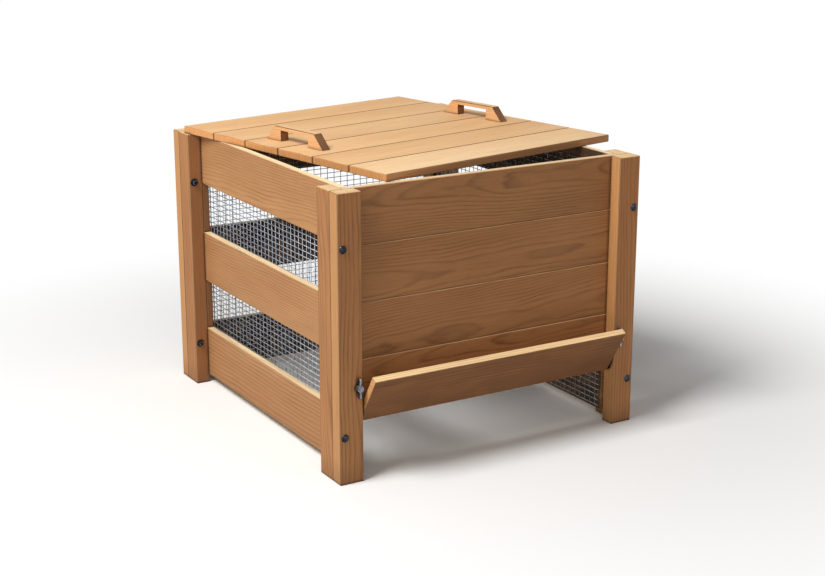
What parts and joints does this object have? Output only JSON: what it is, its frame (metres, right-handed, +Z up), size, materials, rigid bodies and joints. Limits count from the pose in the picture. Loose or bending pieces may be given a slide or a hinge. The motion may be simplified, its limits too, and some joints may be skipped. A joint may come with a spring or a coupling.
{
  "type": "compost bin",
  "caption": "Square timber compost bin: bolted corner posts, slatted mesh-backed walls, a swinging bottom hatch held by wing nuts, and a loose planked lid with bridge handles.",
  "frame": {"origin": "middle of the footprint of the four posts, on the ground", "axes": "+Z up; the hatch faces -Y; +X is to the right as seen from the front"},
  "size_m": [0.9286, 1.0943, 0.778],
  "materials": {
    "post_wood": "oiled, upright grain",
    "front_wood": "oiled, long grain",
    "wall_wood": "oiled, long grain",
    "flap_wood": "oiled, long grain",
    "lid_wood": "oiled, long grain",
    "handle_wood": "oiled, long grain",
    "zinc_steel": "bright zinc",
    "screw_steel": "zinc",
    "galvanised_mesh": "galvanised"
  },
  "bodies": {
    "bin": {"front_left_face_stile": "post_wood", "front_left_side_stile": "post_wood", "front_right_face_stile": "post_wood", "front_right_side_stile": "post_wood", "rear_left_face_stile": "post_wood", "rear_left_side_stile": "post_wood", "rear_right_face_stile": "post_wood", "rear_right_side_stile": "post_wood", "front_board_1": "front_wood", "front_board_2": "front_wood", "front_board_3": "front_wood", "front_board_4": "front_wood", "left_board_1": "wall_wood", "left_board_2": "wall_wood", "left_board_3": "wall_wood", "right_board_1": "wall_wood", "right_board_2": "wall_wood", "right_board_3": "wall_wood", "rear_board_1": "wall_wood", "rear_board_2": "wall_wood", "rear_board_3": "wall_wood", "left_spacers": "wall_wood", "right_spacers": "wall_wood", "rear_spacers": "wall_wood", "left_mesh": "galvanised_mesh", "right_mesh": "galvanised_mesh", "rear_mesh": "galvanised_mesh", "carriage_bolts": "zinc_steel", "bolt_washers": "zinc_steel", "bolt_nuts": "zinc_steel", "hatch_washers": "zinc_steel", "hatch_studs": "zinc_steel", "stud_washers": "zinc_steel", "board_screws": "screw_steel", "mesh_staples": "galvanised_mesh"},
    "flap": {"hatch_flap": "flap_wood", "hatch_pins": "zinc_steel"},
    "lid": {"lid_plank_1": "lid_wood", "lid_plank_2": "lid_wood", "lid_plank_3": "lid_wood", "lid_plank_4": "lid_wood", "lid_plank_5": "lid_wood", "lid_plank_6": "lid_wood", "lid_cleat_left": "lid_wood", "lid_cleat_right": "lid_wood", "lid_handle_left": "handle_wood", "lid_handle_right": "handle_wood", "cleat_screws": "screw_steel", "handle_screws": "screw_steel"},
    "left_nut": {"wing_nut_left": "zinc_steel"},
    "right_nut": {"wing_nut_right": "zinc_steel"}
  },
  "joints": [
    {"name": "flap_pivot", "type": "hinge", "parent": "bin", "child": "flap", "pos_m": [0, -0.46, 0.162], "axis": [1, 0, 0], "range_deg": [-32, 148]},
    {"name": "lid_lift", "type": "slide", "parent": "bin", "child": "lid", "axis": [0, 0, 1], "range_m": [0, 0.4]},
    {"name": "left_nut_turn", "type": "hinge", "parent": "bin", "child": "left_nut", "pos_m": [-0.389, -0.4842, 0.242], "axis": [0, 1, 0], "range_deg": [0, 90]},
    {"name": "right_nut_turn", "type": "hinge", "parent": "bin", "child": "right_nut", "pos_m": [0.389, -0.4842, 0.242], "axis": [0, -1, 0], "range_deg": [0, 90]}
  ]
}
